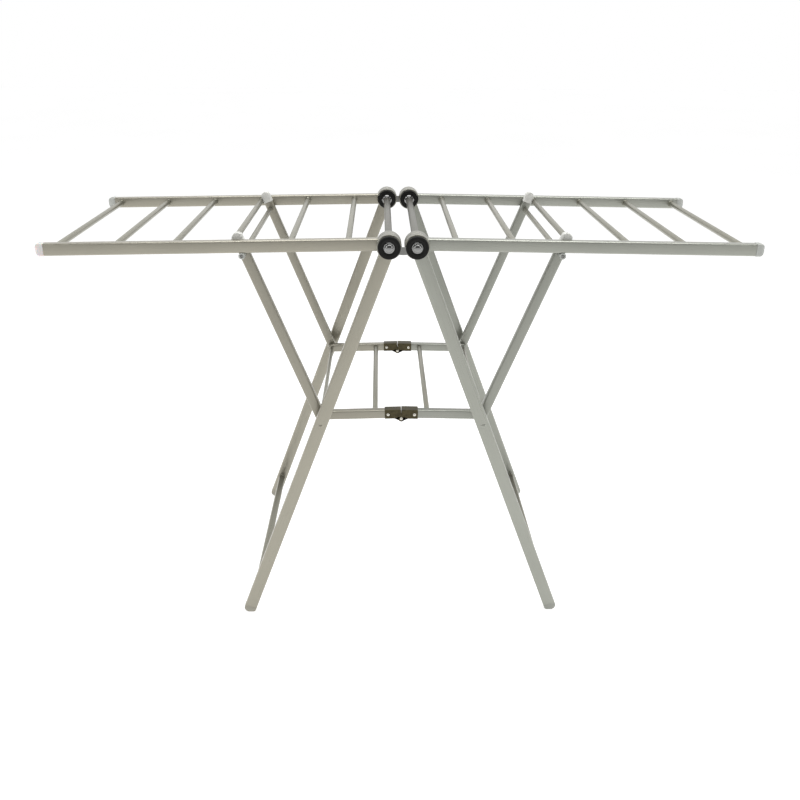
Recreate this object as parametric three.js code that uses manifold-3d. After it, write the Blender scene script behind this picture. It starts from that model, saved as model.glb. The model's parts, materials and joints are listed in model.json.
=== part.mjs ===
// Folding gull-wing clothes airer, drawn open and standing on its feet.
// Units are millimetres, +X runs along the wings, +Y to the rear and +Z up.
// The origin is on the floor, midway between the four feet.
import * as THREE from 'three';
import { mergeVertices } from 'three/addons/utils/BufferGeometryUtils.js';
import Module from 'manifold-3d';

const wasm = await Module();
wasm.setup();

// ---- Driving dimensions ----
const GAP = 0.3;
const WALL = 1.4;
const CORNER = 3;

// The two hub axes, one for each half of the airer.
const HUB_HALF = 28.5;
const HUB_HEIGHT = 884;
const HEAD_RADIUS = 25.6;
const BOLT_RADIUS = 5;
const BOLT_HOLE_RADIUS = 5.6;
const TOP_TUBE_RADIUS = 8;

// Layers of tube, from the outside in, as distances from the middle plane.
const LEG_LAYER = 283;
const RAIL_LAYER = 262;
const STRUT_LAYER = 243;
const BRACE_LAYER = 225.5;

const LEG_WIDTH = 28;
const LEG_DEPTH = 20;
const LEG_ANGLE = 20.75;
const FOOT_START = 930;
const FOOT_SHOULDER = 937;
const FOOT_OUTER_TOE = 2;
const FOOT_INNER_TOE = 8;
const FOOT_CHAMFER = 6;
const FOOT_BAR_DISTANCE = 880;
const FOOT_BAR_WIDTH = 17;
const FOOT_BAR_THICKNESS = 12;
const PIVOT_DISTANCE = 424.5;
const TIE_ROD_RADIUS = 4.5;
const PIVOT_HOLE_RADIUS = 5.1;

const WING_DROOP = 0.91;
const RAIL_HEIGHT = 25;
const RAIL_DEPTH = 20;
const RAIL_END = 700;
const WING_END = 718;
const RAIL_CAP_CORNER = 7;
const ROD_COUNT = 6;
const FIRST_ROD = 84;
const ROD_PITCH = 120;
const ROD_RADIUS = 6.5;

const STRUT_LEAN = 21.5;
const STRUT_WIDTH = 22;
const STRUT_DEPTH = 16;
const STRUT_FOOT = 12;
const STRUT_TUBE_END = 437;
const STRUT_PLUG_START = 428;
const STRUT_SHOULDER = 439;
const STRUT_DOME = 8;
const REST_BAR_DISTANCE = 402.4;
const REST_BAR_OFFSET = 2.6;
const REST_BAR_RADIUS = 5.8;
const REST_BAR_HOLE_RADIUS = 6.3;

const BRACE_RISE = 1.2;
const BRACE_HEIGHT = 20;
const BRACE_DEPTH = 17;
const BRACE_FOOT = 11;
const BRACE_END_TOP = 24;
const BRACE_END_BOTTOM = 42;
const BRACE_ROD_DISTANCE = 120;
const BRACE_ROD_RADIUS = 6;

// The folding hinge in the middle of each brace.
const HINGE_DROP = 6.5;
const LEAF_THICKNESS = 1.3;
const LEAF_REACH = 42;
const LEAF_LOBE_RADIUS = 7;

const LINK_THICKNESS = 2.5;
const LINK_HALF_HEIGHT = 8;
const DISC_RADIUS = 23.3;
const DISC_THICKNESS = 6;
const DISC_RECESS = 2.6;
const NUT_RADIUS = 12;
const NUT_DOME = 9;

const ROUND_SIDES = 12;
const HEAD_SIDES = 24;
const BOLT_SIDES = 16;
const DOME_SEGMENTS = 8;

const SIDES = [{ name: 'left', sign: -1 }, { name: 'right', sign: 1 }];
const ENDS = [{ name: 'front', sign: -1 }, { name: 'rear', sign: 1 }];

// ---- Materials ----
function material(color, roughness, metalness) {
  return new THREE.MeshStandardMaterial({ color, roughness, metalness });
}
const tubeMetal = material(0x9c9a8c, 0.38, 0.9);
const hubMetal = material(0xa9a8a0, 0.32, 0.9);
const rodMetal = material(0x96958a, 0.4, 0.9);
const chrome = material(0xc8c8ca, 0.12, 1);
const blackPlastic = material(0x161614, 0.5, 0);
const bronze = material(0x4d4630, 0.42, 0.8);
const palePlastic = material(0xb9b9b2, 0.5, 0);
const plugPlastic = material(0x96948a, 0.5, 0);
const linkSteel = material(0x6f6f6c, 0.3, 0.9);

// ---- Solid helpers ----
function toSolid(geometry) {
  const bare = geometry.clone();
  bare.deleteAttribute('normal');
  bare.deleteAttribute('uv');
  const merged = mergeVertices(bare, 1e-4);
  const vertProperties = merged.attributes.position.array;
  const triVerts = Uint32Array.from(merged.index.array);
  return new wasm.Manifold(new wasm.Mesh({ numProp: 3, vertProperties, triVerts }));
}

function toGeometry(solid) {
  const mesh = solid.getMesh();
  const geometry = new THREE.BufferGeometry();
  geometry.setAttribute('position', new THREE.BufferAttribute(mesh.vertProperties, 3));
  geometry.setIndex(new THREE.BufferAttribute(mesh.triVerts, 1));
  geometry.computeVertexNormals();
  return geometry;
}

// A cylinder along Y, centred at (x, y, z).
function barAlongY(radius, length, x, y, z, sides = ROUND_SIDES) {
  return new THREE.CylinderGeometry(radius, radius, length, sides).translate(x, y, z);
}

// A flat plate: an outline drawn in X and Z, with its thickness along Y.
function plate(shape, thickness, middle, curveSegments = 6) {
  const geometry = new THREE.ExtrudeGeometry(shape, { depth: thickness, bevelEnabled: false, curveSegments });
  return geometry.rotateX(Math.PI / 2).translate(0, middle + thickness / 2, 0);
}

function roundedBox(path, halfWidth, halfDepth, radius) {
  path.moveTo(halfWidth, -halfDepth + radius);
  path.lineTo(halfWidth, halfDepth - radius);
  path.absarc(halfWidth - radius, halfDepth - radius, radius, 0, Math.PI / 2);
  path.absarc(-halfWidth + radius, halfDepth - radius, radius, Math.PI / 2, Math.PI);
  path.absarc(-halfWidth + radius, -halfDepth + radius, radius, Math.PI, Math.PI * 1.5);
  path.absarc(halfWidth - radius, -halfDepth + radius, radius, Math.PI * 1.5, Math.PI * 2);
  return path;
}

// A hollow tube hanging down its arm, from one distance to another.
function tube(width, depth, from, to, layer) {
  const shape = roundedBox(new THREE.Shape(), width / 2, depth / 2, CORNER);
  shape.holes.push(roundedBox(new THREE.Path(), width / 2 - WALL, depth / 2 - WALL, CORNER - WALL));
  const settings = { depth: to - from, bevelEnabled: false, curveSegments: 2 };
  return new THREE.ExtrudeGeometry(shape, settings).translate(0, layer, -to);
}

// An arm is a group whose pieces hang down its own -Z from a pivot, turned about Y.
function arm(x, z, angle) {
  const group = new THREE.Group();
  group.position.set(x, 0, z);
  group.rotation.y = THREE.MathUtils.degToRad(angle);
  return group;
}

function add(group, name, geometry, finish) {
  const mesh = new THREE.Mesh(geometry, finish);
  mesh.name = name;
  group.add(mesh);
}

// ---- Legs: tubes with a round head, blunt foot plugs, the foot bar and the pivot rod ----
function legTube(layer) {
  const headOverlap = HEAD_RADIUS - 8;
  const head = toSolid(barAlongY(HEAD_RADIUS, LEG_DEPTH, 0, layer, 0, HEAD_SIDES));
  const body = toSolid(tube(LEG_WIDTH, LEG_DEPTH, headOverlap, FOOT_START, layer));
  const boltHole = toSolid(barAlongY(BOLT_HOLE_RADIUS, LEG_DEPTH * 2, 0, layer, 0, BOLT_SIDES));
  const pivotHole = toSolid(barAlongY(PIVOT_HOLE_RADIUS, LEG_DEPTH * 2, 0, layer, -PIVOT_DISTANCE));
  return toGeometry(head.add(body).subtract(boltHole).subtract(pivotHole));
}

// The foot is a blunt plug at the end of the leg, with a facet that lies level on the floor.
function footCap(side, layer) {
  const angle = THREE.MathUtils.degToRad(LEG_ANGLE);
  const half = LEG_WIDTH / 2;
  const floorAt = (across) => -(HUB_HEIGHT + across * Math.sin(angle)) / Math.cos(angle);
  const outward = side.sign;
  const shape = new THREE.Shape();
  shape.moveTo(outward * half, -(FOOT_START + GAP));
  shape.lineTo(outward * half, -(FOOT_SHOULDER + 1));
  shape.lineTo(outward * (half - FOOT_CHAMFER), -(FOOT_SHOULDER + 1 + FOOT_CHAMFER));
  shape.lineTo(outward * FOOT_OUTER_TOE, floorAt(FOOT_OUTER_TOE));
  shape.lineTo(-outward * FOOT_INNER_TOE, floorAt(-FOOT_INNER_TOE));
  shape.lineTo(-outward * half, -FOOT_SHOULDER);
  shape.lineTo(-outward * half, -(FOOT_START + GAP));
  shape.closePath();
  return plate(shape, LEG_DEPTH, layer);
}

function addLegs(rack, side) {
  const legs = arm(side.sign * HUB_HALF, HUB_HEIGHT, -side.sign * LEG_ANGLE);
  for (const end of ENDS) {
    add(legs, `leg_${end.name}_${side.name}`, legTube(end.sign * LEG_LAYER), tubeMetal);
    add(legs, `foot_cap_${end.name}_${side.name}`, footCap(side, end.sign * LEG_LAYER), plugPlastic);
  }
  const innerFace = LEG_LAYER - LEG_DEPTH / 2;
  const footBar = new THREE.BoxGeometry(FOOT_BAR_WIDTH, 2 * (innerFace - GAP), FOOT_BAR_THICKNESS);
  add(legs, `foot_bar_${side.name}`, footBar.translate(0, 0, -FOOT_BAR_DISTANCE), tubeMetal);
  const tieRod = barAlongY(TIE_ROD_RADIUS, 2 * (innerFace + LEG_DEPTH - 2), 0, 0, -PIVOT_DISTANCE);
  add(legs, `pivot_rod_${side.name}`, tieRod, rodMetal);
  rack.add(legs);
}

// ---- Wings: two rails with round heads, end caps and the drying rods ----
function railTube(layer) {
  const headOverlap = HEAD_RADIUS - 8;
  const head = toSolid(barAlongY(HEAD_RADIUS, RAIL_DEPTH, 0, layer, 0, HEAD_SIDES));
  const body = toSolid(tube(RAIL_HEIGHT, RAIL_DEPTH, headOverlap, RAIL_END, layer));
  const boltHole = toSolid(barAlongY(BOLT_HOLE_RADIUS, RAIL_DEPTH * 2, 0, layer, 0, BOLT_SIDES));
  return toGeometry(head.add(body).subtract(boltHole));
}

function railCap(layer) {
  const half = RAIL_HEIGHT / 2 + 0.5;
  const shape = new THREE.Shape();
  shape.moveTo(half, -(RAIL_END + GAP));
  shape.lineTo(-half, -(RAIL_END + GAP));
  shape.lineTo(-half, -WING_END + RAIL_CAP_CORNER);
  shape.absarc(-half + RAIL_CAP_CORNER, -WING_END + RAIL_CAP_CORNER, RAIL_CAP_CORNER, Math.PI, Math.PI * 1.5);
  shape.absarc(half - RAIL_CAP_CORNER, -WING_END + RAIL_CAP_CORNER, RAIL_CAP_CORNER, Math.PI * 1.5, Math.PI * 2);
  shape.closePath();
  return plate(shape, RAIL_DEPTH + 1, layer, 3);
}

function addWing(rack, side) {
  const wing = arm(side.sign * HUB_HALF, HUB_HEIGHT, -side.sign * (90 - WING_DROOP));
  for (const end of ENDS) {
    add(wing, `rail_${end.name}_${side.name}`, railTube(end.sign * RAIL_LAYER), tubeMetal);
    add(wing, `rail_cap_${end.name}_${side.name}`, railCap(end.sign * RAIL_LAYER), palePlastic);
  }
  const rodLength = 2 * (RAIL_LAYER - RAIL_DEPTH / 2 - GAP);
  for (let index = 0; index < ROD_COUNT; index += 1) {
    const rod = barAlongY(ROD_RADIUS, rodLength, 0, 0, -(FIRST_ROD + index * ROD_PITCH));
    add(wing, `drying_rod_${side.name}_${index + 1}`, rod, rodMetal);
  }
  rack.add(wing);
}

// ---- Where the struts and braces pivot on the legs ----
function pivotPoint(side) {
  const angle = THREE.MathUtils.degToRad(LEG_ANGLE);
  const x = side.sign * (HUB_HALF + PIVOT_DISTANCE * Math.sin(angle));
  return { x, z: HUB_HEIGHT - PIVOT_DISTANCE * Math.cos(angle) };
}

// ---- Struts: the pair that props a wing, and the bar that its rails rest on ----
// A strut tube with its domed top moulded on, bored for the rest bar and for the pivot rod.
function strutTube(side, layer) {
  const half = STRUT_WIDTH / 2;
  const top = new THREE.Shape();
  top.moveTo(half, -STRUT_PLUG_START);
  top.lineTo(-half, -STRUT_PLUG_START);
  top.lineTo(-half, -STRUT_SHOULDER);
  top.absellipse(0, -STRUT_SHOULDER, half, STRUT_DOME, Math.PI, Math.PI * 2);
  top.closePath();
  const restAcross = -side.sign * REST_BAR_OFFSET;
  const restHole = barAlongY(REST_BAR_HOLE_RADIUS, STRUT_DEPTH * 2, restAcross, layer, -REST_BAR_DISTANCE);
  const pivotHole = barAlongY(PIVOT_HOLE_RADIUS, STRUT_DEPTH * 2, 0, layer, 0);
  return toGeometry(toSolid(tube(STRUT_WIDTH, STRUT_DEPTH, -STRUT_FOOT, STRUT_TUBE_END, layer))
    .add(toSolid(plate(top, STRUT_DEPTH, layer, DOME_SEGMENTS)))
    .subtract(toSolid(restHole))
    .subtract(toSolid(pivotHole)));
}

function addStruts(rack, side) {
  const pivot = pivotPoint(side);
  const struts = arm(pivot.x, pivot.z, -side.sign * (180 - STRUT_LEAN));
  for (const end of ENDS) {
    add(struts, `strut_${end.name}_${side.name}`, strutTube(side, end.sign * STRUT_LAYER), tubeMetal);
  }
  const length = 2 * (RAIL_LAYER + RAIL_DEPTH / 2);
  const restBar = barAlongY(REST_BAR_RADIUS, length, -side.sign * REST_BAR_OFFSET, 0, -REST_BAR_DISTANCE);
  add(struts, `wing_rest_bar_${side.name}`, restBar, rodMetal);
  rack.add(struts);
}

// ---- Braces: half bars that fold upwards on a hinge in the middle ----
// The pin of the hinge is in the middle plane, a little below the axis of the two halves.
function braceFrame(side) {
  const pivot = pivotPoint(side);
  const rise = THREE.MathUtils.degToRad(BRACE_RISE);
  const span = Math.abs(pivot.x);
  return {
    pivot,
    reach: span * Math.cos(rise) - HINGE_DROP * Math.sin(rise),
    pinBelow: span * Math.sin(rise) + HINGE_DROP * Math.cos(rise),
    angle: side.sign * (90 + BRACE_RISE),
  };
}

// The inner end is bevelled so that the two halves clear each other as they fold.
function braceBar(side, frame, layer) {
  const up = -side.sign;
  const far = frame.reach;
  const half = BRACE_HEIGHT / 2;
  const cut = new THREE.Shape();
  cut.moveTo(up * (half + 1), -(far - BRACE_END_TOP));
  cut.lineTo(up * (half + 1), -(far + 10));
  cut.lineTo(-up * (half + 1), -(far + 10));
  cut.lineTo(-up * (half + 1), -(far - BRACE_END_BOTTOM));
  cut.closePath();
  const pivotHole = barAlongY(PIVOT_HOLE_RADIUS, BRACE_DEPTH * 2, 0, layer, 0);
  return toGeometry(toSolid(tube(BRACE_HEIGHT, BRACE_DEPTH, -BRACE_FOOT, far, layer))
    .subtract(toSolid(plate(cut, BRACE_DEPTH * 2, layer)))
    .subtract(toSolid(pivotHole)));
}

// One hinge leaf: a plate on the outward face of the bar, with a lobe for the pin.
// The leaves of the right half lie outside those of the left half.
function hingeLeaf(side, end, frame) {
  const up = -side.sign;
  const half = BRACE_HEIGHT / 2;
  const pinAt = -frame.reach;
  const pinSide = -up * frame.pinBelow;
  const outline = new THREE.Shape();
  outline.moveTo(up * half, pinAt + LEAF_REACH);
  outline.lineTo(up * half, pinAt + 1);
  outline.lineTo(pinSide, pinAt - LEAF_LOBE_RADIUS);
  outline.lineTo(pinSide - up * LEAF_LOBE_RADIUS, pinAt);
  outline.lineTo(-up * half, pinAt + 2 * LEAF_LOBE_RADIUS);
  outline.lineTo(-up * half, pinAt + LEAF_REACH);
  outline.closePath();
  const step = side.sign > 0 ? LEAF_THICKNESS + GAP : 0;
  const middle = BRACE_LAYER + BRACE_DEPTH / 2 + GAP + step + LEAF_THICKNESS / 2;
  return plate(outline, LEAF_THICKNESS, end.sign * middle);
}

function addBrace(rack, side) {
  const frame = braceFrame(side);
  const brace = arm(frame.pivot.x, frame.pivot.z, frame.angle);
  for (const end of ENDS) {
    const layer = end.sign * BRACE_LAYER;
    add(brace, `brace_bar_${end.name}_${side.name}`, braceBar(side, frame, layer), tubeMetal);
    add(brace, `hinge_leaf_${end.name}_${side.name}`, hingeLeaf(side, end, frame), bronze);
  }
  const length = 2 * (BRACE_LAYER - BRACE_DEPTH / 2 - GAP);
  add(brace, `brace_rod_${side.name}`, barAlongY(BRACE_ROD_RADIUS, length, 0, 0, -BRACE_ROD_DISTANCE), rodMetal);
  rack.add(brace);
}

// ---- Hubs: top tubes, bolts with domed nuts, black discs and the two link plates ----
const LINK_MIDDLE = LEG_LAYER + LEG_DEPTH / 2 + GAP + LINK_THICKNESS / 2;
const DISC_BACK = LINK_MIDDLE + LINK_THICKNESS / 2 + GAP;
const TOP_TUBE_END = RAIL_LAYER - RAIL_DEPTH / 2 - 2;

function linkPlate(end) {
  const outline = new THREE.Shape();
  outline.absarc(HUB_HALF, 0, LINK_HALF_HEIGHT, -Math.PI / 2, Math.PI / 2);
  outline.absarc(-HUB_HALF, 0, LINK_HALF_HEIGHT, Math.PI / 2, Math.PI * 1.5);
  for (const side of SIDES) {
    outline.holes.push(new THREE.Path().absarc(side.sign * HUB_HALF, 0, BOLT_HOLE_RADIUS, 0, Math.PI * 2));
  }
  return plate(outline, LINK_THICKNESS, end.sign * LINK_MIDDLE, 10).translate(0, 0, HUB_HEIGHT);
}

// Lathe profiles run along +Y from the middle of the airer outwards; the front ones are turned round.
function turned(profile, sides, side, end) {
  const points = profile.map(([radius, along]) => new THREE.Vector2(radius, along));
  const geometry = new THREE.LatheGeometry(points, sides);
  if (end.sign < 0) {
    geometry.rotateX(Math.PI);
  }
  return geometry.translate(side.sign * HUB_HALF, 0, HUB_HEIGHT);
}

function hubDisc(side, end) {
  const outer = DISC_BACK + DISC_THICKNESS;
  const seat = NUT_RADIUS + GAP;
  return turned([
    [BOLT_HOLE_RADIUS, DISC_BACK],
    [DISC_RADIUS, DISC_BACK],
    [DISC_RADIUS, outer - 1.5],
    [DISC_RADIUS - 1.5, outer],
    [seat + 1, outer],
    [seat, outer - DISC_RECESS],
    [BOLT_HOLE_RADIUS, outer - DISC_RECESS],
    [BOLT_HOLE_RADIUS, DISC_BACK],
  ], HEAD_SIDES, side, end);
}

function hubBolt(side, end) {
  const seat = DISC_BACK + DISC_THICKNESS - DISC_RECESS + GAP;
  return turned([
    [0, TOP_TUBE_END + GAP],
    [BOLT_RADIUS, TOP_TUBE_END + GAP],
    [BOLT_RADIUS, seat],
    [NUT_RADIUS, seat],
    [NUT_RADIUS, seat + 1.5],
    [NUT_RADIUS * 0.72, seat + 3],
    [NUT_RADIUS * 0.62, seat + NUT_DOME * 0.55],
    [0, seat + NUT_DOME * 0.7],
  ], BOLT_SIDES, side, end);
}

function addHubs(rack) {
  for (const end of ENDS) {
    add(rack, `hub_link_${end.name}`, linkPlate(end), linkSteel);
    for (const side of SIDES) {
      add(rack, `hub_disc_${end.name}_${side.name}`, hubDisc(side, end), blackPlastic);
      add(rack, `hub_bolt_${end.name}_${side.name}`, hubBolt(side, end), chrome);
    }
  }
  for (const side of SIDES) {
    const tubeLength = 2 * TOP_TUBE_END;
    const topTube = barAlongY(TOP_TUBE_RADIUS, tubeLength, side.sign * HUB_HALF, 0, HUB_HEIGHT, 16);
    add(rack, `top_tube_${side.name}`, topTube, hubMetal);
  }
}

const rack = new THREE.Group();
addHubs(rack);
for (const side of SIDES) {
  addLegs(rack, side);
  addWing(rack, side);
  addStruts(rack, side);
  addBrace(rack, side);
}

export default rack;
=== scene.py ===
"""Folding gull-wing clothes airer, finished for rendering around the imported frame."""
import bmesh
import bpy
import json
from math import atan2, cos, pi, radians, sin
from mathutils import Matrix, Vector


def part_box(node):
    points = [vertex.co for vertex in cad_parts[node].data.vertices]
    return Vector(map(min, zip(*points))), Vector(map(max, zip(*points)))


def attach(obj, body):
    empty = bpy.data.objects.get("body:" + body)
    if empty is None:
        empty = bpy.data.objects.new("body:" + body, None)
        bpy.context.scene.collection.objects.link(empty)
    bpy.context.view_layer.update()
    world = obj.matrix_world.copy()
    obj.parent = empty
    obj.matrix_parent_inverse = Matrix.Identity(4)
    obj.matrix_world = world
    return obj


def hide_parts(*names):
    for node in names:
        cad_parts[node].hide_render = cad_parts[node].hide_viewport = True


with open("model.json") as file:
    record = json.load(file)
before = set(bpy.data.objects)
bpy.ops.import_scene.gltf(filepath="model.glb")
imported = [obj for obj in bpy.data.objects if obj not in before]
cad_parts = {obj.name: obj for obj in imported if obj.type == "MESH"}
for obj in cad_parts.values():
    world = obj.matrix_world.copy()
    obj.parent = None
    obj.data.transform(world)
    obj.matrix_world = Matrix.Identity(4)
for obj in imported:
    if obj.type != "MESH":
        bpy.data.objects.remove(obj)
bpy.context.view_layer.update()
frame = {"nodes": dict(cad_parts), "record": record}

# ---- Sizes that the frame doesn't give, in metres ----
LEG_SIZE = (0.028, 0.020)
RAIL_SIZE = (0.025, 0.020)
STRUT_SIZE = (0.022, 0.016)
BRACE_SIZE = (0.020, 0.017)
TUBE_CORNER = 0.0034
CORNER_STEPS = 6
HEAD_EDGE = 0.0012
HEAD_STEPS = 72
ROD_STEPS = 40
REST_BAR_OFFSET = 0.0026
DOME = 0.008
STRUT_TOP = 0.447
STRUT_TUBE_END = 0.420
HINGE_LOBE = 0.007
LEAF_REACH = 0.037
LEAF_METAL = 0.0012
RIVET_REACH = 0.0295
BRACE_TUBE_GAP = 0.024
COLLAR_SIZE = (0.0155, 0.0205)
COLLAR_CORNER = 0.004
FOOT_PLUG_LENGTH = 0.0163
BOLT_HOLE = 0.0056
PIVOT_RIVET = 0.0052
SMALL_RIVET = 0.0036
LEFT_LEAF_CLEARANCE = 0.0002
RIGHT_LEAF_CLEARANCE = 0.0016
REST_SLEEVE_OUTER = 0.0066
REST_SLEEVE_BORE = 0.0038
INNER_DISC_BACK = 0.0034
INNER_DISC_FRONT = 0.0082
FERRULE_SETBACK = 0.0074
NUT_RECESS = 0.0026
NUT_CLEARANCE = 0.0003
LINK_HALF_HEIGHT = 0.009
LINK_DIP = 0.008
FLOOR_SIZE = 40.0
FLOOR_DROP = 0.0005

# ---- Camera, as the object was seen ----
CAMERA_AT = (-0.0465, -2.0255, 1.2862)
CAMERA_PITCH = 23.005
CAMERA_YAW = 1.312
CAMERA_ROLL = 0.338
CAMERA_LENS = 39.19
CAMERA_SHIFT_X = 0.0013

SIDES = {"left": -1, "right": 1}
ENDS = {"front": -1, "rear": 1}


# ---- The frame: pivots and arms ----
JOINTS = {joint["name"]: joint for joint in frame["record"]["behaviour"]["joints"]}


def middle(node):
    low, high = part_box(node)
    return (low + high) / 2


def size(node):
    low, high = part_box(node)
    return high - low


class Arm:
    """A straight member: distances run along it from its pivot, `across` is in X and Z, `y` is depth."""

    def __init__(self, pivot, toward, outward):
        self.pivot = Vector((pivot[0], 0, pivot[2]))
        along = Vector((toward[0] - pivot[0], 0, toward[2] - pivot[2]))
        self.length = along.length
        self.along = along.normalized()
        self.across = Vector((self.along.z, 0, -self.along.x))
        if self.across.x * outward < 0:
            self.across.negate()

    def at(self, along, across=0.0, y=0.0):
        return self.pivot + self.along * along + self.across * across + Vector((0, y, 0))

    def tilt(self):
        return atan2(self.along.x, self.along.z)


def arms_of(side):
    sign = SIDES[side]
    hub = JOINTS[f"leg_{side}_fold"]["pos_m"]
    pivot = JOINTS[f"brace_{side}_fold"]["pos_m"]
    rest = middle(f"wing_rest_bar_{side}")
    strut = Arm(pivot, rest, sign)
    turn = Matrix.Rotation(-sign * REST_BAR_OFFSET / strut.length, 3, "Y")
    strut = Arm(pivot, Vector(pivot) + turn @ (rest - Vector(pivot)), sign)
    return {
        "leg": Arm(hub, pivot, sign),
        "wing": Arm(hub, middle(f"drying_rod_{side}_6"), sign),
        "strut": strut,
        "brace": Arm(pivot, middle(f"brace_rod_{side}"), sign),
    }


ARMS = {side: arms_of(side) for side in SIDES}
LEG_Y = abs(middle("leg_front_left").y)
RAIL_Y = abs(middle("rail_front_left").y)
STRUT_Y = abs(middle("strut_front_left").y)
BRACE_Y = abs(middle("brace_bar_front_left").y)
HEAD_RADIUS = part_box("rail_front_left")[1].z - JOINTS["wing_left_lift"]["pos_m"][2]


# ---- Materials ----
class Nodes:
    """Short calls for building a node material."""

    def __init__(self, name):
        self.material = bpy.data.materials.new(name)
        self.material.use_nodes = True
        self.tree = self.material.node_tree
        self.shader = self.tree.nodes["Principled BSDF"]
        self.coords = self.tree.nodes.new("ShaderNodeTexCoord").outputs["Object"]

    def node(self, kind, inputs=(), **settings):
        made = self.tree.nodes.new(kind)
        for key, value in settings.items():
            setattr(made, key, value)
        for key, value in dict(inputs).items():
            if isinstance(value, bpy.types.NodeSocket):
                self.tree.links.new(value, made.inputs[key])
            else:
                made.inputs[key].default_value = value
        return made

    def mapped(self, turn, scale):
        turned = self.node("ShaderNodeMapping", {"Vector": self.coords, "Rotation": turn})
        return self.node("ShaderNodeMapping", {"Vector": turned.outputs[0], "Scale": scale}).outputs[0]

    def noise(self, vector, scale, detail=3.0, roughness=0.55):
        values = {"Vector": vector, "Scale": scale, "Detail": detail, "Roughness": roughness}
        return self.node("ShaderNodeTexNoise", values).outputs["Fac"]

    def spread(self, value, low, high, start=0.3, end=0.7):
        values = {"Value": value, "From Min": start, "From Max": end, "To Min": low, "To Max": high}
        return self.node("ShaderNodeMapRange", values).outputs["Result"]

    def blend(self, factor, first, second):
        mixed = self.node("ShaderNodeMix", data_type="RGBA")
        self.tree.links.new(factor, mixed.inputs[0])
        mixed.inputs[6].default_value = (*first, 1)
        mixed.inputs[7].default_value = (*second, 1)
        return mixed.outputs[2]

    def bump(self, height, strength, distance):
        values = {"Height": height, "Strength": strength, "Distance": distance}
        self.link(self.node("ShaderNodeBump", values).outputs[0], "Normal")

    def link(self, socket, name):
        self.tree.links.new(socket, self.shader.inputs[name])

    def value(self, **values):
        for name, number in values.items():
            self.shader.inputs[name.replace("_", " ")].default_value = number


def shade(color, factor):
    return tuple(min(1.0, channel * factor) for channel in color)


TONE_SPREAD = 0.06


def anodised(name, color, tilt=None, rough=(0.27, 0.38)):
    """Extruded, anodised aluminium: fine drawn lines along the tube and a faint mottle."""
    n = Nodes(name)
    if tilt is None:
        lines = n.mapped((0, 0, 0), (1800, 5, 1800))
    else:
        lines = n.mapped((0, -tilt, 0), (1800, 1800, 5))
    drawn = n.noise(lines, 1.0, detail=2.0)
    mottle = n.noise(n.coords, 9.0, detail=4.0)
    fine = n.noise(n.coords, 900.0, detail=2.0)
    both = n.node("ShaderNodeMath", {0: drawn, 1: mottle}, operation="ADD")
    both = n.node("ShaderNodeMath", {0: both.outputs[0], 1: 0.5}, operation="MULTIPLY").outputs[0]
    mixed = n.blend(n.spread(both, 0, 1), shade(color, 1 - TONE_SPREAD), shade(color, 1 + TONE_SPREAD))
    n.link(mixed, "Base Color")
    n.link(n.spread(drawn, *rough), "Roughness")
    height = n.node("ShaderNodeMath", {0: drawn, 1: fine}, operation="ADD").outputs[0]
    n.bump(height, 0.12, 0.0002)
    n.value(Metallic=0.86)
    return n.material


def moulded(name, color, rough=(0.42, 0.58), grain=1400.0, depth=0.0002, spec=0.5, **extra):
    """Moulded plastic: a fine spark-eroded grain over a slow change of tone."""
    n = Nodes(name)
    slow = n.noise(n.coords, 35.0, detail=3.0)
    fine = n.noise(n.coords, grain, detail=2.0)
    n.link(n.blend(n.spread(slow, 0, 1), shade(color, 0.9), shade(color, 1.1)), "Base Color")
    n.link(n.spread(fine, *rough), "Roughness")
    n.bump(fine, 0.2, depth)
    n.shader.inputs["Specular IOR Level"].default_value = spec
    for key, number in extra.items():
        n.shader.inputs[key.replace("_", " ")].default_value = number
    return n.material


def plated(name, color, rough=(0.06, 0.16), scuff=260.0):
    """Bright plated steel with light scuffs."""
    n = Nodes(name)
    marks = n.noise(n.coords, scuff, detail=5.0, roughness=0.7)
    n.link(n.blend(n.spread(marks, 0, 1), shade(color, 0.9), shade(color, 1.05)), "Base Color")
    n.link(n.spread(marks, *rough), "Roughness")
    n.bump(marks, 0.05, 0.0002)
    n.value(Metallic=1.0)
    return n.material


def bronzed(name):
    """Dark bronze lacquer over pressed steel, cloudy and slightly worn."""
    n = Nodes(name)
    cloud = n.noise(n.coords, 120.0, detail=6.0, roughness=0.65)
    fine = n.noise(n.coords, 1600.0, detail=2.0)
    dark, light = (0.034, 0.028, 0.012), (0.072, 0.06, 0.028)
    n.link(n.blend(n.spread(cloud, 0, 1, 0.35, 0.65), dark, light), "Base Color")
    n.link(n.spread(cloud, 0.32, 0.5), "Roughness")
    n.bump(fine, 0.15, 0.0002)
    n.value(Metallic=0.7)
    return n.material


# Base tone of the anodised tubes with painted light: the left side is warmed and the right side cooled,
# standing in for warm light from the left and cool light from the right.
TUBE_TONE_AND_PAINTED_SIDE_LIGHT = {"left": (0.308, 0.293, 0.243), "right": (0.3, 0.306, 0.272)}
# Painted light and shade per arm: the one tube finish is lightened on the wings and legs and darkened on
# the struts and braces, standing in for how light falls on each arm.
ARM_PAINTED_LIGHT_AND_SHADE = {"leg": 1.04, "wing": 1.08, "strut": 0.92, "brace": 0.9}
HUB_TONE = (0.262, 0.257, 0.22)
ROD_TONE = (0.3, 0.293, 0.245)


# One copy of the anodised tube finish per arm and side; its colour carries the painted side light and the
# painted per-arm light and shade.
def arm_metal_with_painted_light(side, name):
    color = shade(TUBE_TONE_AND_PAINTED_SIDE_LIGHT[side], ARM_PAINTED_LIGHT_AND_SHADE[name])
    return anodised(f"anodised_{name}_{side}", color, ARMS[side][name].tilt())


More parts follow.
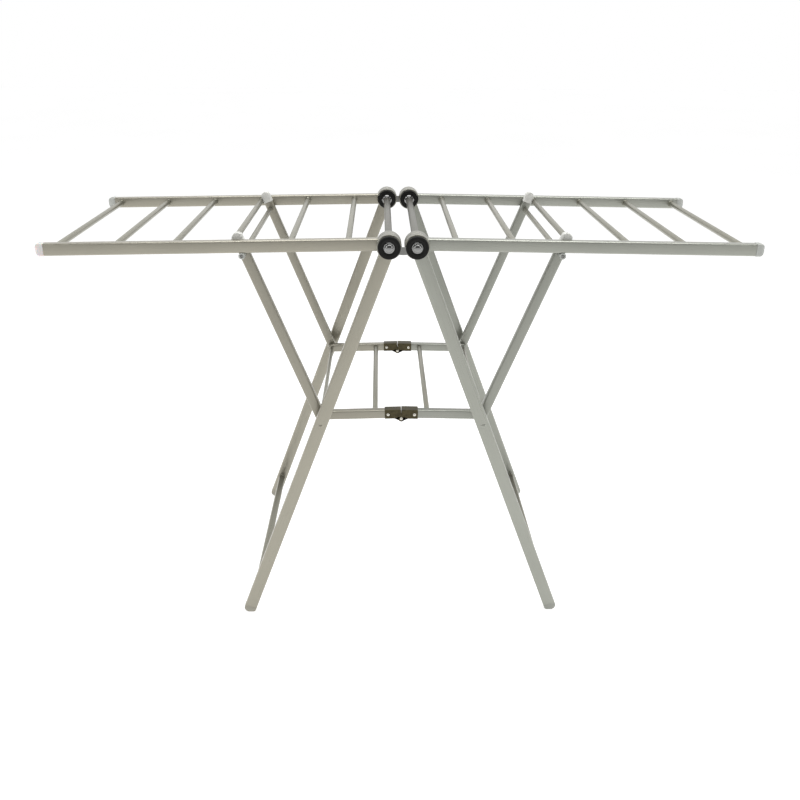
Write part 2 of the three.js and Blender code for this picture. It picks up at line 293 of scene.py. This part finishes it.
TUBE_METAL_WITH_PAINTED_LIGHT = {side: {name: arm_metal_with_painted_light(side, name) for name in ARMS[side]} for side in SIDES}
ROD_METAL = anodised("anodised_round_bar", ROD_TONE)
HUB_METAL = anodised("anodised_hub", HUB_TONE, rough=(0.26, 0.36))
TOP_TUBE_METAL = anodised("anodised_top_tube", shade(HUB_TONE, 0.62))
# The plating's colour is darkened to 0.26 as painted shade, standing in for dark surroundings seen in its
# reflections.
CHROME_WITH_PAINTED_SHADE = plated("bright_plating", (0.26, 0.26, 0.255), rough=(0.05, 0.12))
LINK_STEEL = plated("link_steel", (0.2, 0.2, 0.19), rough=(0.16, 0.3))
RIVET_STEEL = plated("rivet_metal", (0.6, 0.58, 0.52), rough=(0.2, 0.34))
BLACK = moulded("black_moulding", (0.008, 0.008, 0.0072), rough=(0.34, 0.5), spec=0.16)
BRONZE = bronzed("bronze_leaf")
GREY_CAP = moulded("grey_cap", (0.38, 0.39, 0.365))
STRUT_PLASTIC = moulded("strut_plug", (0.56, 0.56, 0.53))
CLEAR_CAP = moulded("frosted_cap", (0.58, 0.58, 0.57), rough=(0.25, 0.4), Subsurface_Weight=0.25)
# The foot plugs take the tube tone with its painted side light, lifted by 1.12 as painted light to offset
# the shade near the floor.
FOOT_PLASTIC_WITH_PAINTED_LIGHT = {side: moulded(f"foot_plastic_{side}", shade(TUBE_TONE_AND_PAINTED_SIDE_LIGHT[side], 1.12)) for side in SIDES}


# ---- Mesh helpers ----
def finish_piece(bm, name, material, body, nodes=(), smooth=40.0):
    bmesh.ops.remove_doubles(bm, verts=bm.verts, dist=1e-6)
    bmesh.ops.recalc_face_normals(bm, faces=bm.faces)
    for face in bm.faces:
        face.smooth = True
    for edge in bm.edges:
        edge.smooth = edge.calc_face_angle(0.0) < radians(smooth)
    mesh = bpy.data.meshes.new(name)
    bm.to_mesh(mesh)
    bm.free()
    mesh.materials.append(material)
    piece = bpy.data.objects.new(name, mesh)
    bpy.context.scene.collection.objects.link(piece)
    if nodes:
        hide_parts(*nodes)
    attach(piece, body)
    return piece


def loft(rings, capped=True):
    """A skin through closed rings of points, each with the same count."""
    bm = bmesh.new()
    rows = [[bm.verts.new(point) for point in ring] for ring in rings]
    count = len(rows[0])
    for first, second in zip(rows, rows[1:]):
        for i in range(count):
            j = (i + 1) % count
            bm.faces.new((first[i], first[j], second[j], second[i]))
    if capped:
        bm.faces.new(rows[0][::-1])
        bm.faces.new(rows[-1])
    return bm


def section(width, depth, corner, steps=CORNER_STEPS):
    """Points of a rounded rectangle, anticlockwise."""
    points = []
    centres = ((1, 1, 0), (-1, 1, 90), (-1, -1, 180), (1, -1, 270))
    for sx, sy, start in centres:
        for step in range(steps + 1):
            turn = radians(start + 90 * step / steps)
            points.append((
                sx * (width / 2 - corner) + corner * cos(turn),
                sy * (depth / 2 - corner) + corner * sin(turn),
            ))
    return points


def arm_tube(arm, layer, dims, start, end, corner=TUBE_CORNER, edge=0.0006):
    """A tube along an arm, with softened ends."""
    rings = []
    for along, inset in ((start, edge), (start + edge, 0), (end - edge, 0), (end, edge)):
        ring = section(dims[0] - 2 * inset, dims[1] - 2 * inset, corner)
        rings.append([arm.at(along, across, layer + y) for across, y in ring])
    return loft(rings)


def domed_bar(arm, layer, dims, start, end, start_dome=0.0, end_dome=0.0, floor=None, corner=TUBE_CORNER):
    """A bar along an arm whose ends are rounded, as seen from the front, by domes of the given height."""
    steps = 9
    edge = 0.0005
    half_width, half_depth = dims[0] / 2, dims[1] / 2
    stations = []
    for dome, shoulder, facing in ((start_dome, start + start_dome, -1), (end_dome, end - end_dome, 1)):
        part = [(shoulder, half_width, 0.0)]
        if dome:
            for step in range(1, steps + 1):
                turn = radians(86) * step / steps
                along = shoulder + facing * dome * sin(turn)
                part.append((along, half_width * cos(turn), edge * (1 - cos(turn))))
        else:
            part = [(shoulder - facing * edge, half_width, 0.0), (shoulder, half_width - edge, edge)]
        stations += part if facing > 0 else part[::-1]
    rings = []
    for along, half, inset in stations:
        ring = section(2 * half, 2 * (half_depth - inset), min(corner, half * 0.9))
        points = [arm.at(along, across, layer + y) for across, y in ring]
        if floor is not None:
            points = [Vector((p.x, p.y, max(p.z, floor))) for p in points]
        rings.append(points)
    return loft(rings)


def lathe(profile, centre, steps=HEAD_STEPS, outward=1, closed_ring=False):
    """Turns (radius, y) points about the Y axis through centre; outward flips the y direction."""
    rings = []
    for radius, y in profile:
        ring = []
        for step in range(steps):
            turn = 2 * pi * step / steps
            reach = max(radius, 1e-5)
            ring.append(centre + Vector((reach * cos(turn), outward * y, reach * sin(turn))))
        rings.append(ring)
    if closed_ring:
        return loft(rings + rings[:1], capped=False)
    return loft(rings)


def rounded_rod(radius, half, edge=0.0008, steps=4):
    """Profile of a rod centred on y = 0 with softened ends."""
    ends = []
    for step in range(steps + 1):
        turn = pi / 2 * step / steps
        ends.append((radius - edge + edge * sin(turn), -half + edge - edge * cos(turn)))
    return ends + [(r, -y) for r, y in reversed(ends)]


def ring_profile(inner, outer, low, high, edge):
    """Profile of a ring with an edge break at each corner."""
    return [
        (inner, low + edge), (inner + edge, low), (outer - edge, low), (outer, low + edge),
        (outer, high - edge), (outer - edge, high), (inner + edge, high), (inner, high - edge),
    ]


def extrude_outline(points, low, high, edge=0.0):
    """A plate from an outline of (x, z) points between two y values, with an optional edge break."""
    centre = sum((Vector(p) for p in points), Vector((0, 0))) / len(points)

    def ring(y, inset):
        made = []
        for point in points:
            away = Vector(point) - centre
            shrunk = centre + away * (1 - inset / max(away.length, 1e-6))
            made.append(Vector((shrunk.x, y, shrunk.y)))
        return made

    rings = [ring(low, edge), ring(low + edge, 0), ring(high - edge, 0), ring(high, edge)]
    return loft(rings if edge else rings[1:3])


def refined(node, material, body, bevel, segments):
    """A copy of a CAD solid with clean faces and rounded edges."""
    bm = bmesh.new()
    bm.from_mesh(frame["nodes"][node].data)
    bmesh.ops.remove_doubles(bm, verts=bm.verts, dist=1e-6)
    bmesh.ops.dissolve_limit(bm, angle_limit=radians(1), verts=bm.verts, edges=bm.edges)
    piece = finish_piece(bm, f"{node}_fine", material, body, (node,), smooth=32.0)
    round_edges(piece, bevel, segments)


def round_edges(piece, width, segments):
    """Rounds the sharp edges of a piece."""
    rounding = piece.modifiers.new("edge_rounding", "BEVEL")
    rounding.width = width
    rounding.segments = segments
    rounding.limit_method = "ANGLE"
    rounding.angle_limit = radians(32)
    rounding.harden_normals = True


# ---- Hub heads, legs and feet ----
def head_profile(low, high):
    """A round hub head, bored for its bolt, with rounded rims."""
    steps = 5
    points = []
    for step in range(steps + 1):
        turn = pi / 2 * step / steps
        points.append((HEAD_RADIUS - HEAD_EDGE * (1 - sin(turn)), low + HEAD_EDGE * (1 - cos(turn))))
    points += [(radius, low + high - y) for radius, y in reversed(points)]
    return [(BOLT_HOLE, low)] + points + [(BOLT_HOLE, high)]


def add_head(name, side, end, layer, depth, body, node):
    hub = ARMS[side]["leg"].pivot
    profile = head_profile(layer - depth / 2, layer + depth / 2)
    bm = lathe(profile + profile[:1], hub, outward=ENDS[end], closed_ring=True)
    return finish_piece(bm, name, HUB_METAL, body, (node,))


def add_legs(side):
    body = f"legs_{side}"
    arm = ARMS[side]["leg"]
    metal = TUBE_METAL_WITH_PAINTED_LIGHT[side]["leg"]
    for end, sign in ENDS.items():
        node = f"leg_{end}_{side}"
        layer = sign * LEG_Y
        cap_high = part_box(f"foot_cap_{end}_{side}")[1]
        shoulder = abs(arm.along.x) * LEG_SIZE[0] / 2
        foot_start = (arm.pivot.z + shoulder - cap_high.z) / abs(arm.along.z)
        foot_end = foot_start + FOOT_PLUG_LENGTH
        bm = arm_tube(arm, layer, LEG_SIZE, HEAD_RADIUS - 0.006, foot_start, edge=0.0002)
        finish_piece(bm, f"leg_tube_{end}_{side}", metal, body, (node,))
        add_head(f"leg_head_{end}_{side}", side, end, LEG_Y, LEG_SIZE[1], body, node)
        bm = domed_bar(arm, layer, LEG_SIZE, foot_start, foot_end, end_dome=DOME, floor=0.0)
        finish_piece(bm, f"foot_plug_{end}_{side}", FOOT_PLASTIC_WITH_PAINTED_LIGHT[side], body,
                     (f"foot_cap_{end}_{side}",))
        for y_sign in (-1, 1):
            y = layer + y_sign * LEG_SIZE[1] / 2
            label, finish = ("out", metal) if y_sign == sign else ("in", RIVET_STEEL)
            add_rivet(f"pivot_rivet_{end}_{side}_{label}", arm.at(arm.length), y, y_sign, PIVOT_RIVET, body,
                      finish)
    refined(f"foot_bar_{side}", ROD_METAL, body, 0.002, 3)
    for end, sign in ENDS.items():
        add_foot_bar_collar(f"foot_bar_collar_{end}_{side}", side, sign, body)
    add_rod(f"pivot_rod_{side}", body)


def add_foot_bar_collar(name, side, sign, body):
    """The pressed collar round a foot bar where it meets the leg."""
    arm = ARMS[side]["leg"]
    along = (middle(f"foot_bar_{side}") - arm.pivot).dot(arm.along)
    points = []
    for off_x, off_along in section(*COLLAR_SIZE, COLLAR_CORNER):
        point = arm.at(along + off_along, off_x)
        points.append((point.x, point.z))
    face = LEG_Y - LEG_SIZE[1] / 2
    low, high = sorted((sign * (face - 0.0003), sign * (face - 0.0032)))
    finish_piece(extrude_outline(points, low, high, 0.0006), name, ROD_METAL, body)


def add_rivet(name, centre, y, facing, radius, body, material, height=0.0014):
    """A low domed rivet head on a face at depth y."""
    steps = 6
    profile = [(radius * 0.98, -0.0002), (radius, 0.0)]
    for step in range(1, steps + 1):
        turn = pi / 2 * step / steps
        profile.append((radius * cos(turn), height * sin(turn)))
    centre = Vector((centre.x, y, centre.z))
    bm = lathe(profile, centre, steps=32, outward=facing)
    return finish_piece(bm, name, material, body)


# ---- Round bars ----
def add_rod(node, body, shorter=0.0):
    """A round bar in place of the frame's, shortened at each end where a sleeve carries on."""
    centre = middle(node)
    dims = size(node)
    bm = lathe(rounded_rod(dims.z / 2, dims.y / 2 - shorter), centre, steps=ROD_STEPS)
    return finish_piece(bm, f"{node}_bar", ROD_METAL, body, (node,))


def add_socket(name, centre, inner, sign, radius, body):
    """The small rolled lip where a rod enters a rail."""
    lip = 0.0011
    profile = [(radius * 0.95, inner - 0.0002), (radius + lip, inner - 0.0002), (radius + lip, inner - lip),
               (radius + lip * 0.4, inner - 1.8 * lip), (radius * 0.95, inner - 1.8 * lip)]
    bm = lathe(profile + profile[:1], Vector((centre.x, 0, centre.z)), ROD_STEPS, sign, True)
    return finish_piece(bm, name, ROD_METAL, body)


# ---- Wings ----
def rounded_cap(arm, layer, dims, start, end, corner=0.0092):
    """A push-in cap: a lip against the tube, then a body that rounds off to its nose."""
    proud = 0.0006
    grown = (dims[0] + 2 * proud, dims[1] + 2 * proud)
    stations = [(start, 0.0006), (start + 0.0006, 0)]
    steps = 7
    for step in range(steps + 1):
        turn = pi / 2 * step / steps
        stations.append((end - corner + corner * sin(turn), corner * (1 - cos(turn))))
    rings = []
    for along, inset in stations:
        ring = section(grown[0] - 2 * inset, grown[1] - 2 * inset, max(TUBE_CORNER, inset * 0.7))
        rings.append([arm.at(along, across, layer + y) for across, y in ring])
    return loft(rings)


def add_wing(side):
    body = f"wing_{side}"
    arm = ARMS[side]["wing"]
    cap_low, cap_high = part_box(f"rail_cap_front_{side}")
    hub_x = abs(arm.pivot.x)
    wing_end = max(abs(cap_low.x), abs(cap_high.x)) - hub_x
    rail_end = min(abs(cap_low.x), abs(cap_high.x)) - hub_x
    inner = RAIL_Y - RAIL_SIZE[1] / 2
    for end, sign in ENDS.items():
        node = f"rail_{end}_{side}"
        layer = sign * RAIL_Y
        bm = arm_tube(arm, layer, RAIL_SIZE, HEAD_RADIUS - 0.006, rail_end)
        finish_piece(bm, f"rail_tube_{end}_{side}", TUBE_METAL_WITH_PAINTED_LIGHT[side]["wing"], body, (node,))
        add_head(f"rail_head_{end}_{side}", side, end, RAIL_Y, RAIL_SIZE[1], body, node)
        cap = CLEAR_CAP if (end, side) == ("front", "left") else GREY_CAP
        bm = rounded_cap(arm, layer, RAIL_SIZE, rail_end, wing_end)
        finish_piece(bm, f"rail_end_{end}_{side}", cap, body, (f"rail_cap_{end}_{side}",))
    for index in range(1, 7):
        node = f"drying_rod_{side}_{index}"
        add_rod(node, body)
        for end, sign in ENDS.items():
            add_socket(f"{node}_lip_{end}", middle(node), inner, sign, size(node).z / 2, body)


# ---- Struts ----
def add_struts(side):
    """Each strut is a tube up to STRUT_TUBE_END and a moulded cap beyond it."""
    body = f"struts_{side}"
    arm = ARMS[side]["strut"]
    metal = TUBE_METAL_WITH_PAINTED_LIGHT[side]["strut"]
    bar = f"wing_rest_bar_{side}"
    for end, sign in ENDS.items():
        node = f"strut_{end}_{side}"
        layer = sign * STRUT_Y
        top = (STRUT_SIZE[0] + 0.0006, STRUT_SIZE[1] + 0.0006)
        bm = domed_bar(arm, layer, STRUT_SIZE, -STRUT_SIZE[0] / 2, STRUT_TUBE_END,
                       start_dome=STRUT_SIZE[0] / 2)
        finish_piece(bm, f"strut_tube_{end}_{side}", metal, body, (node,))
        bm = domed_bar(arm, layer, top, STRUT_TUBE_END + 0.0002, STRUT_TOP, end_dome=DOME)
        finish_piece(bm, f"strut_top_{end}_{side}", STRUT_PLASTIC, body, (node,))
        add_rest_bar_end(bar, end, side, sign, body)
    add_rod(bar, body, shorter=0.003)


def add_rest_bar_end(bar, end, side, sign, body):
    """The pale sleeve on the end of a rest bar, with the open bore inside it."""
    tip = size(bar).y / 2
    centre = Vector((middle(bar).x, 0, middle(bar).z))
    start = STRUT_Y + STRUT_SIZE[1] / 2 + 0.0015
    sleeve = ring_profile(REST_SLEEVE_BORE, REST_SLEEVE_OUTER, start, tip + 0.0006, 0.0007)
    bm = lathe(sleeve + sleeve[:1], centre, ROD_STEPS, sign, True)
    finish_piece(bm, f"rest_sleeve_{end}_{side}", GREY_CAP, body)
    reach = REST_SLEEVE_BORE + 0.00005
    bore = [(0.0, tip - 0.0029), (reach, tip - 0.0029), (reach, tip - 0.0018), (0.0, tip - 0.0014)]
    finish_piece(lathe(bore, centre, ROD_STEPS, sign), f"rest_bore_{end}_{side}", LINK_STEEL, body)


# ---- Braces and their folding hinges ----
def add_brace(side):
    """The left leaves nest inside the right ones; their rivets show on both cheeks."""
    body = f"brace_{side}"
    arm = ARMS[side]["brace"]
    for end, sign in ENDS.items():
        node = f"hinge_leaf_{end}_{side}"
        pin = Vector((0, 0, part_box(node)[0].z + HINGE_LOBE)) - arm.pivot
        reach, drop = pin.dot(arm.along), pin.dot(arm.across)
        bm = domed_bar(arm, sign * BRACE_Y, BRACE_SIZE, -BRACE_SIZE[0] / 2, reach - BRACE_TUBE_GAP,
                       start_dome=BRACE_SIZE[0] / 2, corner=0.0026)
        finish_piece(bm, f"brace_tube_{end}_{side}", TUBE_METAL_WITH_PAINTED_LIGHT[side]["brace"], body,
                     (f"brace_bar_{end}_{side}",))
        clear = LEFT_LEAF_CLEARANCE if side == "left" else RIGHT_LEAF_CLEARANCE
        add_leaf(f"hinge_channel_{end}_{side}", arm, sign * BRACE_Y, reach, drop, clear, body, node)
        outer = BRACE_SIZE[1] / 2 + clear + LEAF_METAL
        for facing in (-1, 1):
            face = sign * BRACE_Y + facing * outer
            label = "outer" if facing == sign else "inner"
            add_rivet(f"leaf_rivet_{end}_{side}_{label}", arm.at(reach - RIVET_REACH), face, facing,
                      SMALL_RIVET, body, RIVET_STEEL)
            if side == "right":
                add_rivet(f"hinge_pin_{end}_{label}", arm.at(reach, drop), face, facing, SMALL_RIVET, body,
                          RIVET_STEEL)
    add_rod(f"brace_rod_{side}", body)


def add_leaf(name, arm, layer, reach, drop, clear, body, node):
    """A pressed channel over the end of a brace bar, with a lobe below each cheek for the pin."""
    half = BRACE_SIZE[0] / 2
    inner = BRACE_SIZE[1] / 2 + clear
    outer = inner + LEAF_METAL
    top = half + 0.0003
    outline = [(-half, -outer), (top + LEAF_METAL, -outer), (top + LEAF_METAL, outer), (-half, outer),
               (-half, inner), (top, inner), (top, -inner), (-half, -inner)]
    rings = []
    for along in (reach - LEAF_REACH, reach - 0.0001):
        rings.append([arm.at(along, across, layer + y) for across, y in outline])
    bm = loft(rings)
    lobe = [(reach - 0.0135, -half + 0.0004)]
    for step in range(15):
        turn = radians(-125 + 215 * step / 14)
        lobe.append((reach + HINGE_LOBE * sin(turn), drop - HINGE_LOBE * cos(turn)))
    lobe.append((reach - 0.0003, -half + 0.0004))
    for low, high in ((inner - 0.00005, outer + 0.00005), (-outer - 0.00005, -inner + 0.00005)):
        faces = []
        for y in (low, high):
            faces.append([bm.verts.new(arm.at(along, across, layer + y)) for along, across in lobe])
        for i in range(len(lobe)):
            j = (i + 1) % len(lobe)
            bm.faces.new((faces[0][i], faces[0][j], faces[1][j], faces[1][i]))
        bm.faces.new(faces[0][::-1])
        bm.faces.new(faces[1])
    piece = finish_piece(bm, name, BRONZE, body, (node,), smooth=30.0)
    round_edges(piece, 0.0003, 2)


# ---- Hubs ----
def hexagon_nut(centre, low, outward):
    """A domed hexagon nut on a flange."""
    flats, flange, height = 0.0094, 0.0119, 0.0052

    def ring(y, shape):
        made = []
        for step in range(HEAD_STEPS):
            turn = 2 * pi * step / HEAD_STEPS
            made.append(centre + Vector((shape(turn) * cos(turn), outward * y, shape(turn) * sin(turn))))
        return made

    def hexagon(limit):
        return lambda turn: min(limit, flats / cos((turn % (pi / 3)) - pi / 6))

    def disc(radius):
        return lambda turn: radius

    rings = [
        ring(low, disc(flange)),
        ring(low + 0.0008, disc(flange)),
        ring(low + 0.0015, disc(flange * 0.93)),
        ring(low + 0.0016, hexagon(flats * 1.16)),
        ring(low + height - 0.0012, hexagon(flats * 1.16)),
        ring(low + height - 0.0004, hexagon(flats * 1.02)),
        ring(low + height, disc(flats * 0.86)),
    ]
    for step in range(1, 7):
        turn = pi / 2 * step / 6
        rings.append(ring(low + height + 0.0026 * sin(turn), disc(max(flats * 0.84 * cos(turn), 1e-5))))
    return loft(rings)


def add_hubs():
    for end, sign in ENDS.items():
        link = f"hub_link_{end}"
        add_link(f"waisted_link_{end}", link)
        for side in SIDES:
            centre = ARMS[side]["leg"].pivot
            disc = f"hub_disc_{end}_{side}"
            low = min(abs(corner.y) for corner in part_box(disc))
            high = max(abs(corner.y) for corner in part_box(disc))
            radius = size(disc).z / 2
            bm = lathe(disc_profile(radius, low, high), centre, outward=sign, closed_ring=True)
            finish_piece(bm, f"outer_disc_{end}_{side}", BLACK, "hub", (disc,))
            bm = hexagon_nut(centre, high - NUT_RECESS + NUT_CLEARANCE, sign)
            finish_piece(bm, f"domed_nut_{end}_{side}", CHROME_WITH_PAINTED_SHADE, "hub",
                         (f"hub_bolt_{end}_{side}",), smooth=28)
            inner_face = RAIL_Y - RAIL_SIZE[1] / 2
            low, high = inner_face - INNER_DISC_FRONT, inner_face - INNER_DISC_BACK
            profile = [(r, low + high - y) for r, y in disc_profile(radius * 0.985, low, high)]
            bm = lathe(profile, centre, outward=sign, closed_ring=True)
            finish_piece(bm, f"inner_disc_{end}_{side}", BLACK, "hub")
            add_ferrule(side, end, sign, centre, inner_face - FERRULE_SETBACK)
    for side in SIDES:
        node = f"top_tube_{side}"
        bm = lathe(rounded_rod(size(node).z / 2, size(node).y / 2), middle(node), steps=56)
        finish_piece(bm, f"{node}_bar", TOP_TUBE_METAL, "hub", (node,))


def disc_profile(radius, low, high):
    """A black disc: rounded rim, a raised face with a shallow groove, and a recess for the nut."""
    rim, seat, hole = 0.0016, 0.0128, 0.0057
    floor = high - NUT_RECESS
    points = [(hole, low), (radius - 0.0006, low), (radius, low + 0.0006)]
    for step in range(6):
        turn = pi / 2 * step / 5
        points.append((radius - rim * (1 - cos(turn)), high - rim * (1 - sin(turn))))
    points += [(radius * 0.86, high), (radius * 0.84, high - 0.0005), (radius * 0.81, high - 0.0005),
               (radius * 0.79, high), (seat + 0.001, high), (seat, high - 0.0006), (seat, floor),
               (hole, floor), (hole, low)]
    return points


def add_link(name, node):
    """The steel link between the two hub axes, dipping between the discs."""
    low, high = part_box(node)
    hub_x = abs(ARMS["left"]["leg"].pivot.x)
    hub_z = ARMS["left"]["leg"].pivot.z
    steps = 12
    upper, lower = [], []
    for step in range(steps + 1):
        share = -1 + 2 * step / steps
        dip = LINK_DIP * (1 - share * share)
        upper.append((hub_x * share, hub_z + LINK_HALF_HEIGHT - dip))
        lower.append((hub_x * share, hub_z - LINK_HALF_HEIGHT - 0.8 * dip))
    bm = extrude_outline(upper[::-1] + lower, low.y, high.y)
    piece = finish_piece(bm, name, LINK_STEEL, "hub", (node,), smooth=30.0)
    round_edges(piece, 0.0006, 3)


def add_ferrule(side, end, sign, centre, face):
    """The bright flanged ferrule that holds a top tube against its inner disc."""
    tube = size(f"top_tube_{side}").z / 2
    profile = [
        (tube * 0.98, face + 0.001), (0.0118, face + 0.001), (0.0122, face + 0.0004),
        (0.0122, face - 0.0008), (0.0112, face - 0.0016), (tube + 0.0012, face - 0.0026),
        (tube + 0.0009, face - 0.0120), (tube + 0.0004, face - 0.0128), (tube * 0.98, face - 0.0128),
    ]
    bm = lathe(profile + profile[:1], centre, 56, sign, True)
    finish_piece(bm, f"ferrule_{end}_{side}", CHROME_WITH_PAINTED_SHADE, "hub")


# ---- Floor, light and camera ----
def add_stage():
    n = Nodes("pale_floor")
    cloud = n.noise(n.coords, 0.8, detail=2.0)
    n.link(n.blend(n.spread(cloud, 0, 1), (0.5, 0.5, 0.5), (0.53, 0.53, 0.53)), "Base Color")
    n.value(Roughness=0.95)
    n.shader.inputs["Emission Color"].default_value = (1, 1, 1, 1)
    n.shader.inputs["Emission Strength"].default_value = 0.72
    bm = bmesh.new()
    bmesh.ops.create_grid(bm, x_segments=4, y_segments=4, size=FLOOR_SIZE / 2)
    mesh = bpy.data.meshes.new("floor")
    bm.to_mesh(mesh)
    bm.free()
    mesh.materials.append(n.material)
    floor = bpy.data.objects.new("floor", mesh)
    floor.location.z = -FLOOR_DROP
    bpy.context.scene.collection.objects.link(floor)


def add_light(name, at, toward, power, width, height):
    data = bpy.data.lights.new(name, "AREA")
    data.energy = power
    data.shape = "RECTANGLE"
    data.size = width
    data.size_y = height
    light = bpy.data.objects.new(name, data)
    light.location = at
    light.rotation_euler = (Vector(toward) - Vector(at)).to_track_quat("-Z", "Y").to_euler()
    bpy.context.scene.collection.objects.link(light)


def add_studio():
    """A white studio: bright behind the object, dimmer towards the camera, white where it is seen."""
    world = bpy.data.worlds.new("studio")
    world.use_nodes = True
    tree = world.node_tree
    background = tree.nodes["Background"]
    direction = tree.nodes.new("ShaderNodeTexCoord").outputs["Generated"]
    parts = tree.nodes.new("ShaderNodeSeparateXYZ")
    tree.links.new(direction, parts.inputs[0])
    fade = tree.nodes.new("ShaderNodeMapRange")
    fade.interpolation_type = "SMOOTHSTEP"
    fade.inputs["From Min"].default_value = -0.25
    fade.inputs["From Max"].default_value = 0.75
    fade.inputs["To Min"].default_value = 0.2
    fade.inputs["To Max"].default_value = 1.0
    tree.links.new(parts.outputs["Y"], fade.inputs["Value"])
    seen = tree.nodes.new("ShaderNodeLightPath").outputs["Is Camera Ray"]
    strength = tree.nodes.new("ShaderNodeMath")
    strength.operation = "MAXIMUM"
    tree.links.new(fade.outputs["Result"], strength.inputs[0])
    tree.links.new(seen, strength.inputs[1])
    tree.links.new(strength.outputs[0], background.inputs["Strength"])
    background.inputs["Color"].default_value = (1.0, 1.0, 1.0, 1)
    bpy.context.scene.world = world
    bpy.context.scene.view_settings.view_transform = "Standard"
    add_light("overhead", (0.2, 0.5, 3.4), (0, 0, 0.5), 75, 3.2, 1.6)
    add_light("front_top", (0, -1.9, 3.2), (0, 0, 0.7), 26, 2.6, 1.2)
    add_light("front_left", (-2.4, -2.6, 2.0), (0, 0, 0.6), 19, 1.2, 1.2)
    add_light("front_right", (2.4, -2.6, 1.8), (0, 0, 0.6), 13, 1.2, 1.2)
    add_light("side_left", (-3.0, -0.4, 0.9), (0, 0, 0.6), 12, 0.3, 2.0)
    add_light("side_right", (3.0, -0.4, 0.9), (0, 0, 0.6), 12, 0.3, 2.0)


def add_camera():
    data = bpy.data.cameras.new("camera")
    data.sensor_width = 36.0
    data.lens = CAMERA_LENS
    data.shift_x = CAMERA_SHIFT_X
    camera = bpy.data.objects.new("camera", data)
    yaw = Matrix.Rotation(radians(-CAMERA_YAW), 4, "Z")
    pitch = Matrix.Rotation(radians(90 - CAMERA_PITCH), 4, "X")
    roll = Matrix.Rotation(radians(CAMERA_ROLL), 4, "Z")
    camera.matrix_world = Matrix.Translation(CAMERA_AT) @ yaw @ pitch @ roll
    bpy.context.scene.collection.objects.link(camera)
    bpy.context.scene.camera = camera


add_hubs()
for side_name in SIDES:
    add_legs(side_name)
    add_wing(side_name)
    add_struts(side_name)
    add_brace(side_name)
add_stage()
add_studio()
add_camera()
